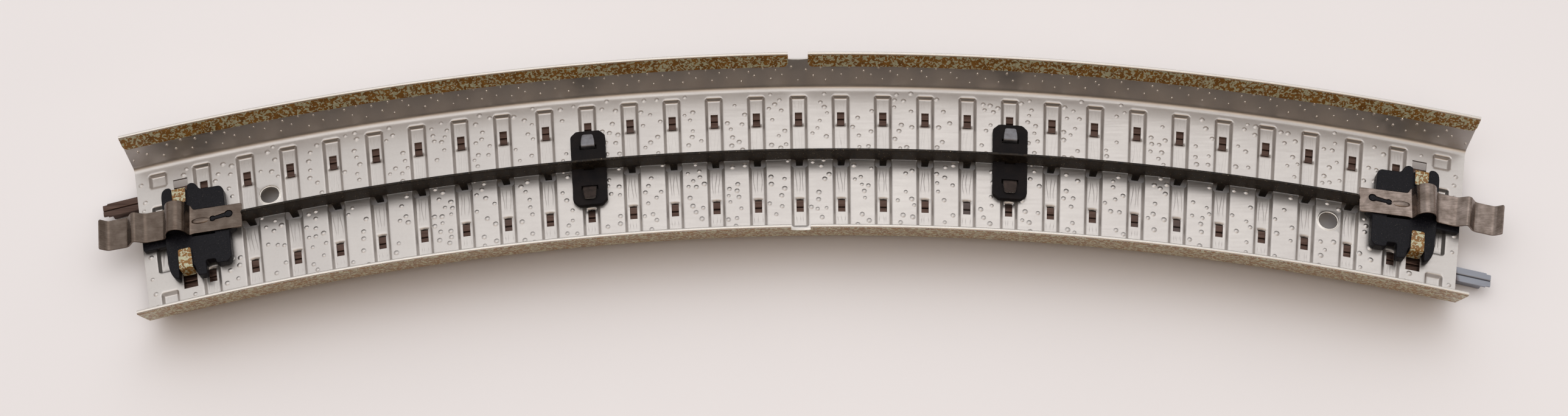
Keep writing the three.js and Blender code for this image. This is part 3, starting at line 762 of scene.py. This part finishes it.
def bed_sheet(shell):
    """The whole pressed and folded sheet: rows across the track, columns along it."""
    half = half_stations()
    mirrored = [(-o, z, -no, nz, part) for o, z, no, nz, part in reversed(half)]
    rows = mirrored + [(0.0, Z_BED - SHEET / 2, 0.0, 1.0, "bed")] + half
    columns = bed_columns()

    def skin_point(i, j, sign):
        o, z, no, nz, part = rows[j]
        s = columns[i]
        o += sign * no * SHEET / 2
        z += sign * nz * SHEET / 2
        if part == "bed":
            z -= pressed(s, o, -0.05 if sign > 0 else 0.2)
        elif part == "slope" and abs(rows[j][1] - NOTCH_FLOOR) < 0.01 and abs(s) < NOTCH_HALF:
            z -= 0.16 * (1 - (s / NOTCH_HALF) ** 2)
        elif part == "hem":
            cut = corner_shift(rows[j][1] - (Z_RIM - HEM_DROP))
            inner = 14.5 * PITCH
            if abs(s) > inner:
                share = (abs(s) - inner) / (ARC_HALF - inner)
                s -= math.copysign(cut * share, s)
            elif NOTCH_HALF - 0.01 <= abs(s) <= PITCH / 2:
                share = (PITCH / 2 - abs(s)) / (PITCH / 2 - NOTCH_HALF)
                s += math.copysign(cut * share, s)
        return track(s, o, z)

    def state(i, j):
        s = (columns[i] + columns[i + 1]) / 2
        a, b = rows[j], rows[j + 1]
        if a[4] == "bed" and b[4] == "bed":
            o = (a[0] + b[0]) / 2
            if in_window(s, o):
                return 0
            return 2 if near_screw(s, o) else 1
        hemmed = a[4] in ("fold", "hem") or b[4] in ("fold", "hem")
        above = hemmed or min(a[1], b[1]) > NOTCH_FLOOR - 0.01
        return 0 if above and abs(s) < NOTCH_HALF else 1

    def outside(j):
        folded = "fold" in (rows[j][4], rows[j + 1][4])
        return EDGE_AND_HIGHLIGHT if folded and rows[j][1] > Z_RIM - 0.22 else PRINT

    at = add_sheet(
        shell, len(columns), len(rows), state,
        lambda i, j: skin_point(i, j, 1), lambda i, j: skin_point(i, j, -1),
        (TIN, outside, EDGE_AND_HIGHLIGHT),
    )
    for side in (-1, 1):
        screw_hole(shell, columns, rows, at, side)


def screw_hole(shell, columns, rows, at, side):
    """Round hole with a rolled rim, set into the square gap that the grid leaves."""
    s0, o0 = side * SCREW_S, -side * SCREW_O
    cols = [i for i, s in enumerate(columns) if abs(s - s0) < SCREW_PATCH[0] + 0.01]
    low, high = sorted((-side * SCREW_PATCH[1], -side * SCREW_PATCH[2]))
    band = [j for j, r in enumerate(rows) if low - 0.01 < r[0] < high + 0.01 and r[4] == "bed"]
    ring = [(i, band[0]) for i in cols[:-1]] + [(cols[-1], j) for j in band[:-1]]
    ring += [(i, band[-1]) for i in reversed(cols[1:])]
    ring += [(cols[0], j) for j in reversed(band[1:])]
    faces = [at(0, *c) for c in ring]
    backs = [at(1, *c) for c in ring]
    turns = [math.atan2(rows[j][0] - o0, columns[i] - s0) for i, j in ring]
    top = [(2.0, 0.0), (1.86, 0.05), (1.76, 0.12), (1.66, 0.13), (1.57, 0.05)]
    bottom = [(2.0, -SHEET), (1.68, -SHEET + 0.02), (SCREW_RADIUS, -SHEET + 0.1)]

    def circle(r, lift):
        first = len(shell.points)
        for a in turns:
            shell.points.append(track(s0 + r * math.cos(a), o0 + r * math.sin(a), Z_BED + lift))
        return list(range(first, first + len(turns)))

    def join(outer, inner, kind, flip):
        n = len(outer)
        for k in range(n):
            m = (k + 1) % n
            quad = [outer[k], outer[m], inner[m], inner[k]]
            shell.face(quad[::-1] if flip else quad, kind)

    upper = faces
    for r, lift in top:
        ring_now = circle(r, lift)
        join(upper, ring_now, TIN if r > 1.9 else EDGE_AND_HIGHLIGHT, False)
        upper = ring_now
    lower = backs
    for r, lift in bottom:
        ring_now = circle(r, lift)
        join(lower, ring_now, PRINT, True)
        lower = ring_now
    join(upper, lower, EDGE_AND_HIGHLIGHT, False)


def ballast_bumps(shell):
    """Pressed stones, at random in the bays and in loose rows on the sloping sides, where they take the bright edge
    finish as a painted highlight.
    """
    draw = random.Random(41)
    profile = [(0.50, -0.02), (0.40, 0.02), (0.30, 0.09), (0.17, 0.15), (0.0, 0.17)]
    for bay in range(-16, 16):
        s_mid = (bay + 0.5) * PITCH
        low, high = s_mid - 1.75, s_mid + 1.75
        if bay == -16:
            low, high = -ARC_HALF + 0.7, -ARC_HALF + 1.6
        if bay == 15:
            low, high = ARC_HALF - 1.6, ARC_HALF - 0.7
        taken = []
        for _ in range(34 if abs(s_mid) < ARC_HALF else 12):
            s, o = draw.uniform(low, high), draw.uniform(-14.0, 14.0)
            size = draw.uniform(0.8, 1.15)
            blocked = near_screw(s, o, 0.3) or in_window(s, o) or in_window(s + 0.5, o)
            blocked = blocked or in_window(s - 0.5, o) or in_window(s, o + 0.5)
            if blocked or any(math.hypot(s - a, o - b) < 1.15 for a, b in taken):
                continue
            taken.append((s, o))
            rings = [(r * size, h * size) for r, h in profile]
            along = (track(s + 1, o, 0) - track(s, o, 0)).normalized()
            up = Vector((0, 0, 1))
            add_dome(shell, track(s, o, Z_BED), along, up.cross(along), up, rings, TIN)
    turn = SLOPE_TURN
    for side in (-1, 1):
        for step in range(-92, 93):
            s = step * 1.24 + draw.uniform(-0.3, 0.3)
            z = (5.5, 7.4, 6.4, 8.1)[step % 4] + draw.uniform(-0.25, 0.25)
            size = draw.uniform(0.5, 0.75)
            o = 15.2 + (z - 3.3) * math.cos(turn) / math.sin(turn) - SHEET / math.sin(turn)
            point = track(s, side * o, z)
            along = (track(s + 1, 0, 0) - track(s, 0, 0)).normalized()
            outward = (track(s, 1, 0) - track(s, 0, 0)).normalized() * side
            climb = outward * math.cos(turn) + Vector((0, 0, math.sin(turn)))
            normal = -outward * math.sin(turn) + Vector((0, 0, math.cos(turn)))
            rings = [(r * size, h * size * 1.6) for r, h in profile]
            # the sloping sides' stones are the same tin as the slope; the bright edge finish on them is a painted
            # highlight
            add_dome(shell, point, along * 0.8, climb, normal, rings, EDGE_AND_HIGHLIGHT)


def grain_lines(shell):
    """Wavy ridges of wood grain along each pressed sleeper."""
    draw = random.Random(12)
    half, height = 0.09, 0.03
    for index in range(-15, 16):
        spans = [(1.4, 6.85), (10.3, 12.75)] if abs(index) < 14.5 else [(0.3, 6.0), (11.2, 12.7)]
        for base in (-0.6, -0.02, 0.58):
            phase = draw.uniform(0, 6.28)
            sway = draw.uniform(0.08, 0.2)
            for low, high in spans:
                for side in (-1, 1):
                    steps = max(2, round((high - low) / 0.6))
                    rows = []
                    for k in range(steps + 1):
                        o = side * (low + (high - low) * k / steps)
                        s = index * PITCH + base + sway * math.sin(0.8 * o + phase)
                        lift = height if 0 < k < steps else 0.0
                        first = len(shell.points)
                        for ds, dz in ((-half, -0.01), (0, lift), (half, -0.01)):
                            shell.points.append(track(s + ds, o, Z_FLOOR + dz))
                        rows.append(first)
                    for a, b in zip(rows, rows[1:]):
                        for n in (0, 1):
                            shell.face([a + n, a + n + 1, b + n + 1, b + n], TIN)


def bed_lug(shell, s, rail, foot, tip, top, widths, kinds, droop=0.0):
    """Tab cut from the sheet at offset foot, folded up and over towards offset tip, its end
    lower by droop."""
    reach = tip - foot
    out = math.copysign(1, reach)
    middle = top - SHEET / 2
    path = rounded([(0.0, Z_BED - 0.6), (0.0, middle), (abs(reach), middle - droop)], 0.45, 6)
    length = path_frames(path)[-1][0]
    wide, narrow = widths
    outline = [(0, -wide / 2), (length - abs(reach) * 0.6, -wide / 2), (length, -narrow / 2)]
    outline += [(length, narrow / 2), (length - abs(reach) * 0.6, wide / 2), (0, wide / 2)]
    outline = round_corners(outline, 0.35)

    def place(u, v, z):
        return track(s + v, rail * (foot + out * u), z)

    mesh = bend_plate([outline], SHEET, 0.12, path, place)
    shell.add_mesh(mesh, kinds)
    bpy.data.meshes.remove(mesh)


def make_roadbed():
    """The sheet with its stones, wood grain and eight folded lugs."""
    shell = Shell()
    bed_sheet(shell)
    ballast_bumps(shell)
    grain_lines(shell)
    plate_top = PLATE_LEVELS[1] + 0.27 + SHEET
    end_top = BLOCK[1] + 0.2 + SHEET
    for side in (-1, 1):
        for rail in (-1, 1):
            s = side * PLATE_SLEEPER * PITCH
            # the far rail's lug takes the pale copy and the near rail's lug the dark one: painted reflection
            kinds = (LUG_PALE_REFLECTION if rail > 0 else LUG_DARK_REFLECTION, TIN, EDGE_AND_HIGHLIGHT)
            bed_lug(
                shell, s, rail, PLATE_LUG_FOOT, PLATE_LUG_TIP, plate_top, (2.4, 1.9), kinds, 0.12
            )
            s = side * END_LUG_S
            kinds = (PRINT, TIN, EDGE_AND_HIGHLIGHT)
            bed_lug(
                shell, s, rail, END_LUG_FOOT, END_LUG_TIPS[rail], end_top, (2.3, 2.15), kinds
            )
    mesh = shell.mesh("sheet_roadbed")
    obj = make_piece(
        "sheet_roadbed", mesh, SHEET_FINISHES, ["roadbed"], "tinplate", sharp=48, recalc=False
    )
    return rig.ride(obj, "track")


# ---- hollow rails ----------------------------------------------------------------------
def make_rail(name, node, centre, tongue, finish):
    """Rail folded from thin sheet: two feet, a doubled web and a hollow head. It stands out
    at the end that tongue points to, where its head is cut away."""
    half = [(0.0, 0.14), (0.40, 0.14), (0.56, 0.32), (0.56, 1.25), (0.155, 1.55)]
    half += [(0.155, 2.40), (1.31, 2.40)]
    corners = [(-o, z) for o, z in reversed(half)] + half[1:]
    path = rounded(corners, 0.16, 4)
    rows = path_frames(path)
    s_tip = tongue * (ARC_HALF + RAIL_REACH)
    s_far = -tongue * ARC_HALF
    steps = 124
    columns = [s_far + (s_tip - tongue * 1.2 - s_far) * k / steps for k in range(steps + 1)]
    columns += [s_tip - tongue * d for d in (0.8, 0.72, 0.3, 0.06, 0.0)]
    columns.sort()

    def skin(i, j, sign):
        _, p, n = rows[j]
        s = columns[i]
        o, z = p + n * sign * RAIL_SHEET / 2
        from_tip = abs(s_tip - s)
        limit = 1.45 if from_tip > 0.75 else 1.1
        if from_tip < 0.05:
            limit -= 0.06
        o = max(-limit, min(limit, o))
        return track(s, centre + o, z)

    def state(i, j):
        s = (columns[i] + columns[i + 1]) / 2
        low = min(rows[j][1].y, rows[j + 1][1].y) < 1.8
        return 0 if low and abs(s_tip - s) < 1.2 else 1

    shell = Shell()
    add_sheet(
        shell, len(columns), len(rows), state,
        lambda i, j: skin(i, j, 1), lambda i, j: skin(i, j, -1), (0, lambda j: 0, 0),
    )
    obj = make_piece(name, shell.mesh(name), [finish], [node], "rail_steel", sharp=50)
    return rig.ride(obj, "track")


# ---- contact strip ---------------------------------------------------------------------
def make_strip():
    """Thin strip on edge along the middle, with a stud down through every window."""
    low, high, tip, end = 3.95, 7.1, 1.7, 96.9
    half = 1.35 / 2
    lower = [(-end - 1.2, low)]
    for index in range(-13, 14):
        s = index * PITCH
        lower += [(s - half - 0.25, low), (s - half, low - 0.25), (s - half + 0.08, tip)]
        lower += [(s + half - 0.08, tip), (s + half, low - 0.25), (s + half + 0.25, low)]
    lower += [(end + 1.2, low), (end + 1.2, 5.15), (end + 0.05, 5.15)]
    upper = [(end, 6.3), (end - 0.25, 6.85), (end - 0.8, high)]
    upper += [(-end + 0.4, high), (-end + 0.05, high - 0.35), (-end - 0.05, 5.15)]
    outline = lower + upper + [(-end - 1.2, 5.15)]
    steps = 120
    path = [(-end - 1.3 + (2 * end + 2.6) * k / steps, 0.0) for k in range(steps + 1)]
    shifted = [(s + end + 1.3, z) for s, z in outline]
    mesh = bend_plate([shifted], STRIP_THICK, 0.1, path, lambda u, v, h: track(u, h, v))
    finishes = [strip_finish()] * 3
    obj = make_piece(
        "stud_contact_strip", mesh, finishes, ["contact_strip"], "blackened_steel"
    )
    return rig.ride(obj, "track")


# ---- fibre cross plates ----------------------------------------------------------------
def roughened(outline, step, amount, seed):
    """The outline cut into short lengths, each moved a little in or out."""
    draw = random.Random(seed)
    out = []
    for k, a in enumerate(outline):
        b = outline[(k + 1) % len(outline)]
        a, b = Vector(a), Vector(b)
        n = max(1, round((b - a).length / step))
        for m in range(n):
            p = a.lerp(b, m / n)
            x = p.x + draw.uniform(-amount, 0) * math.copysign(1, p.x)
            y = p.y + draw.uniform(-amount, 0) * math.copysign(1, p.y)
            out.append((x, y))
    return out


def make_cross_plate(name, node, side, finish):
    """Chamfered plate with a slot for the strip and one for each lug, punched roughly."""
    (h, p), c = PLATE_HALF, PLATE_CHAMFER
    corners = [(h, -p + c), (h, p - c), (h - c, p), (-h + c, p), (-h, p - c), (-h, -p + c)]
    corners += [(-h + c, -p), (h - c, -p)]
    outline = roughened(round_corners(corners, 0.3), 0.7, 0.05, 5 + side)
    holes = [[(-0.92, -0.5), (0.92, -0.5), (0.92, 0.5), (-0.92, 0.5)]]
    for rail in (-1, 1):
        a, b = sorted((rail * 3.68, rail * 4.52))
        holes.append([(-1.45, a), (1.45, a), (1.45, b), (-1.45, b)])
    mesh = cut_plate([outline] + holes, *PLATE_LEVELS, 0.09)
    moved(mesh, lambda x, y, z: track(PLATE_SLEEPER * PITCH + x, y, z))
    obj = make_piece(name, mesh, [finish], [node], "fibre", side)
    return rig.ride(obj, "track")


# ---- contact springs -------------------------------------------------------------------
# how each spring is skewed and where its tongue runs
SPRING_SEATS = {
    "left": {"turn": 0.062, "start": 1.4, "end": 2.1},
    "right": {"turn": 0.058, "start": 1.25, "end": 1.15},
}


# deep and pale tone of each spring: the right spring is paler as a painted reflection
SPRING_TONES_AND_REFLECTION = {
    "left": ((0.115, 0.085, 0.068), (0.19, 0.15, 0.125)),
    "right": ((0.16, 0.125, 0.105), (0.34, 0.275, 0.245)),
}


def spring_place(name):
    """The spring's own (u, v, z) turned into the right-hand end's millimetres."""
    seat = SPRING_SEATS[name]
    base = track(SPRING_S, SPRING_O, 0)
    turn = seat["turn"] - SPRING_S / RADIUS
    a = track(SPRING_S + TONGUE_U, seat["start"], 0)
    b = track(SPRING_S + 23.6, seat["end"], 0)
    tongue_turn = math.atan2(b.y - a.y, b.x - a.x)

    def place(u, v, z):
        root = base + Matrix.Rotation(turn, 3, "Z") @ Vector((u, v, 0))
        own = Vector((u - TONGUE_U, v - 0.3, 0))
        tongue = a + Matrix.Rotation(tongue_turn, 3, "Z") @ own
        point = root.lerp(tongue, smooth((u - 12.4) / 2.0))
        return Vector((point.x, point.y, z))

    return place


SLOT_PLACE = (2.3, 0.55)
SLOT_TURN = -0.17


def slot_outline(shrink):
    """Dumbbell slot near the spring's inner end, as (u, v), or its peg where shrink is more
    than 0."""
    out = []
    for k in range(13):
        a = math.radians(38 + 284 * k / 12)
        out.append(((0.72 - shrink) * math.cos(a), (0.72 - shrink) * math.sin(a)))
    for k in range(11):
        a = math.radians(-140 + 280 * k / 10)
        out.append((2.75 + (0.55 - shrink) * math.cos(a), (0.55 - shrink) * math.sin(a)))
    c, s = math.cos(SLOT_TURN), math.sin(SLOT_TURN)
    u0, v0 = SLOT_PLACE
    return [(u0 + x * c - y * s, v0 + x * s + y * c) for x, y in out]


def spring_path():
    """Middle line of the spring as (u, z): flat root, loop, step and turned-up tip."""
    path = [(0.0, LEAF_Z), (2.0, LEAF_Z), (4.5, LEAF_Z), (7.6, LEAF_Z), (8.5, LEAF_Z + 0.02)]
    path.append((8.95, LEAF_Z + 0.2))
    for k in range(17):
        a = math.pi * (1 - k / 16)
        lift = 0.75 + 1.95 * math.sin(a)
        path.append((LOOP_U + 1.7205 * math.cos(a), LEAF_Z + lift))
    path += [(13.05, LEAF_Z + 0.2), (13.4, LEAF_Z + 0.02)]
    corners = [(0.3, 0.0), (3.1, 0.0), (4.8, 1.3), (6.1, -0.25), (9.5, -0.25), (10.6, 0.95)]
    tongue = [(TONGUE_U + u, LEAF_Z + z) for u, z in corners]
    return path + rounded(tongue, 0.55, 5)


def make_spring(name, side):
    """One bent strip with a slot, a pressed rib and two tabs, blended across its hinge."""
    path = spring_path()
    length = path_frames(path)[-1][0]
    place = spring_place(name)
    low, high = -2.6, 3.2
    outline = [(0.0, -2.35), (8.3, -2.35), (8.8, low), (length, low), (length, high)]
    outline += [(8.8, high), (8.3, 2.35), (0.0, 2.35)]
    outline = round_corners(outline, 0.3)
    shell = Shell()
    leaf = bend_plate([outline, slot_outline(0)], LEAF, 0.06, path, place)
    shell.add_mesh(leaf, (0, 0, 0))
    top = LEAF_Z + LEAF / 2
    profile = [(1.0, -0.05), (0.93, 0.03), (0.78, 0.12), (0.55, 0.19), (0.25, 0.215), (0, 0.22)]
    middle = place(7.1, 0.0, top)
    along = (place(8.1, 0.0, top) - middle) * 1.65
    across = (place(7.1, 1.0, top) - middle) * 0.62
    add_dome(shell, middle, along, across, Vector((0, 0, 1)), profile, 0, 28)
    for rail in (-1, 1):
        bend = rounded([(0.0, 0.0), (0.55, 0.0), (0.55, -1.35)], 0.3, 5)
        tab_long = path_frames(bend)[-1][0]
        blank = [(0, -1.65), (tab_long, -1.55), (tab_long, 1.55), (0, 1.65)]
        tab = bend_plate(
            [round_corners(blank, 0.15)], LEAF * 0.96, 0.05, bend,
            lambda u, v, z: place(6.7 + v, rail * (1.66 + u), LEAF_Z + 0.004 + z),
        )
        shell.add_mesh(tab, (0, 0, 0))
    nodes = [f"{name}_contact_root", f"{name}_contact_tongue"]
    finish = spring_finish(f"{name}_spring_bronze", *SPRING_TONES_AND_REFLECTION[name])
    piece_name = f"{name}_contact_spring"
    obj = make_piece(
        piece_name, shell.mesh(piece_name), [finish], nodes, "spring_strip", side
    )

    def in_frame(u):
        p = place(u, 0.3, LEAF_Z + 0.8)
        return (Vector((p.x * side, p.y, p.z)) + MIDDLE) * MM

    start, end = map(in_frame, BLEND)
    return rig.blend(obj, "track", f"{name}_tongue", start=start, end=end)


# ---- end insulators --------------------------------------------------------------------
def block_outline():
    """Plan of the moulding as (s, o), with a gap for each lug and each rail window."""
    return [
        (110.2, -3.9), (110.1, -7.1), (109.8, -8.35), (109.2, -9.3), (108.5, -9.45),
        (108.4, -7.5), (105.8, -7.5), (105.3, -9.6), (104.0, -9.75), (103.75, -9.55),
        (103.8, -7.0), (102.1, -7.1), (102.1, -8.05), (100.0, -8.15), (99.35, -7.2),
        (99.35, -2.1), (98.4, -1.8), (98.4, 1.9), (99.7, 2.1), (99.8, 6.5), (100.3, 7.15),
        (103.7, 7.3), (104.4, 8.65), (105.1, 8.95), (105.75, 8.6), (105.8, 7.5),
        (108.4, 7.5), (108.5, 8.7), (109.3, 8.85), (110.0, 8.3), (110.2, 7.2), (110.2, 3.4),
    ]


def make_insulator(name, side, finish):
    """Block, thin flap towards the track's end, arch in the spring's loop, and peg."""
    place = spring_place(name)

    def plan(points):
        return [tuple(track(s, o, 0).xy) for s, o in points]

    pockets = []
    for rail in (-1, 1):
        a, b = sorted((rail * 1.8, rail * 2.6))
        box = [(4.8, a), (8.6, a), (8.6, b), (4.8, b)]
        pockets.append([tuple(place(u, v, 0).xy) for u, v in box])
    shell = Shell()
    outline = plan(round_corners(block_outline(), 0.45))
    shell.add_mesh(cut_plate([outline] + pockets, BLOCK[0], BLOCK[1], 0.2, 3))
    flap = [(109.6, -2.35), (114.2, -2.35), (114.2, 3.3), (109.6, 3.3)]
    shell.add_mesh(cut_plate([plan(round_corners(flap, 0.4))], BLOCK[0], 4.65, 0.12))
    arch_half, arch_foot = 1.45, 4.9
    arch = [(LOOP_U - arch_half, arch_foot)]
    for k in range(17):
        a = math.pi * (1 - k / 16)
        arch.append((LOOP_U + arch_half * math.cos(a), BLOCK[1] + 2.05 * math.sin(a)))
    arch.append((LOOP_U + arch_half, arch_foot))
    boss = cut_plate([arch], -1.7, 2.9, 0.22, 3)
    shell.add_mesh(moved(boss, lambda x, y, z: place(x, z, y)))
    peg = cut_plate([slot_outline(0.1)], 4.9, 5.78, 0.22, 3)
    shell.add_mesh(moved(peg, place))
    piece_name = f"{name}_insulator_block"
    obj = make_piece(
        piece_name, shell.mesh(piece_name), [finish],
        [f"{name}_end_insulator"], "moulding", side,
    )
    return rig.ride(obj, "track")


# ---- floor, light and camera -----------------------------------------------------------
def make_floor():
    """Plain pale table top."""
    bm = bmesh.new()
    bmesh.ops.create_grid(bm, x_segments=4, y_segments=4, size=1.6)
    mesh = bpy.data.meshes.new("floor")
    bm.to_mesh(mesh)
    bm.free()
    f = Finish("pale_floor", (0.86, 0.82, 0.83), 0.75, 0.0)
    f.color(f.ramp(f.noise(0.01, 3), [(0.3, (0.88, 0.845, 0.855)), (0.7, (0.91, 0.875, 0.885))]))
    mesh.materials.append(f.material)
    floor = bpy.data.objects.new("floor", mesh)
    bpy.context.scene.collection.objects.link(floor)
    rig.stage(floor)


def make_sky():
    """Soft surround: bright overhead and behind, dim and warm low down at the front."""
    world = bpy.data.worlds.new("soft_surround")
    bpy.context.scene.world = world
    world.use_nodes = True
    tree = world.node_tree
    place = tree.nodes.new("ShaderNodeTexCoord")
    towards = tree.nodes.new("ShaderNodeVectorMath")
    towards.operation = "DOT_PRODUCT"
    towards.inputs[1].default_value = (0.0, 0.55, 0.835)
    ramp = tree.nodes.new("ShaderNodeValToRGB")
    stops = [(0.0, (0.09, 0.05, 0.02)), (0.1, (0.15, 0.09, 0.05))]
    stops += [(0.3, (0.60, 0.535, 0.48))]
    stops += [(0.55, (0.92, 0.91, 0.90)), (1.0, (1.0, 1.0, 1.0))]
    while len(ramp.color_ramp.elements) < len(stops):
        ramp.color_ramp.elements.new(0.5)
    for element, (at, color) in zip(ramp.color_ramp.elements, stops):
        element.position = at
        element.color = (*color, 1)
    tree.links.new(place.outputs["Generated"], towards.inputs[0])
    tree.links.new(towards.outputs["Value"], ramp.inputs["Fac"])
    background = tree.nodes["Background"]
    tree.links.new(ramp.outputs["Color"], background.inputs["Color"])
    background.inputs["Strength"].default_value = 0.95


def make_lamp(name, place, size, power, color):
    """Rectangular lamp aimed at the middle of the frame."""
    light = bpy.data.lights.new(name, "AREA")
    light.shape = "RECTANGLE"
    light.size, light.size_y = size
    light.energy = power
    light.color = color
    lamp = bpy.data.objects.new(name, light)
    bpy.context.scene.collection.objects.link(lamp)
    lamp.location = place
    lamp.rotation_euler = (-Vector(place)).to_track_quat("-Z", "Y").to_euler()


def make_camera():
    """Camera at the photograph's viewing angle, in front of the track and above it."""
    data = bpy.data.cameras.new("camera")
    data.sensor_width = 36.0
    data.lens = 38.864
    data.clip_start = 0.01
    data.clip_end = 10.0
    camera = bpy.data.objects.new("camera", data)
    bpy.context.scene.collection.objects.link(camera)
    tilt = Matrix.Rotation(-0.5004, 3, "X")
    pan = Matrix.Rotation(-0.0016, 3, "Y")
    roll = Matrix.Rotation(0.0140, 3, "Z")
    matrix = (roll @ pan @ tilt).transposed().to_4x4()
    matrix.translation = Vector((-1.602, -143.368, 261.116)) * MM
    camera.matrix_world = matrix
    bpy.context.scene.camera = camera


rail_sheet = rail_finish()
fibre = fibre_finish()
moulding = moulding_finish()
make_roadbed()
make_rail("outer_hollow_rail", "outer_rail", RAIL_O, -1, rail_sheet)
make_rail("inner_hollow_rail", "inner_rail", -RAIL_O, 1, rail_sheet)
make_strip()
for end, way in ENDS.items():
    make_cross_plate(f"{end}_fibre_plate", f"{end}_cross_plate", way, fibre)
    make_insulator(end, way, moulding)
    make_spring(end, way)
make_floor()
make_sky()
make_lamp("overhead_softbox", (-0.12, 0.10, 0.85), (1.5, 0.6), 1.6, (1.0, 0.975, 0.95))
make_lamp("front_fill", (0.10, -0.55, 0.62), (0.5, 0.5), 0.55, (1.0, 0.82, 0.62))
make_camera()
bpy.context.scene.view_settings.view_transform = "Standard"

with open("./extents.json", "w") as out:
    boxes = {"cad": cad_box, "visual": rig.bounds()}
    json.dump({k: [list(map(float, corner)) for corner in v] for k, v in boxes.items()}, out)
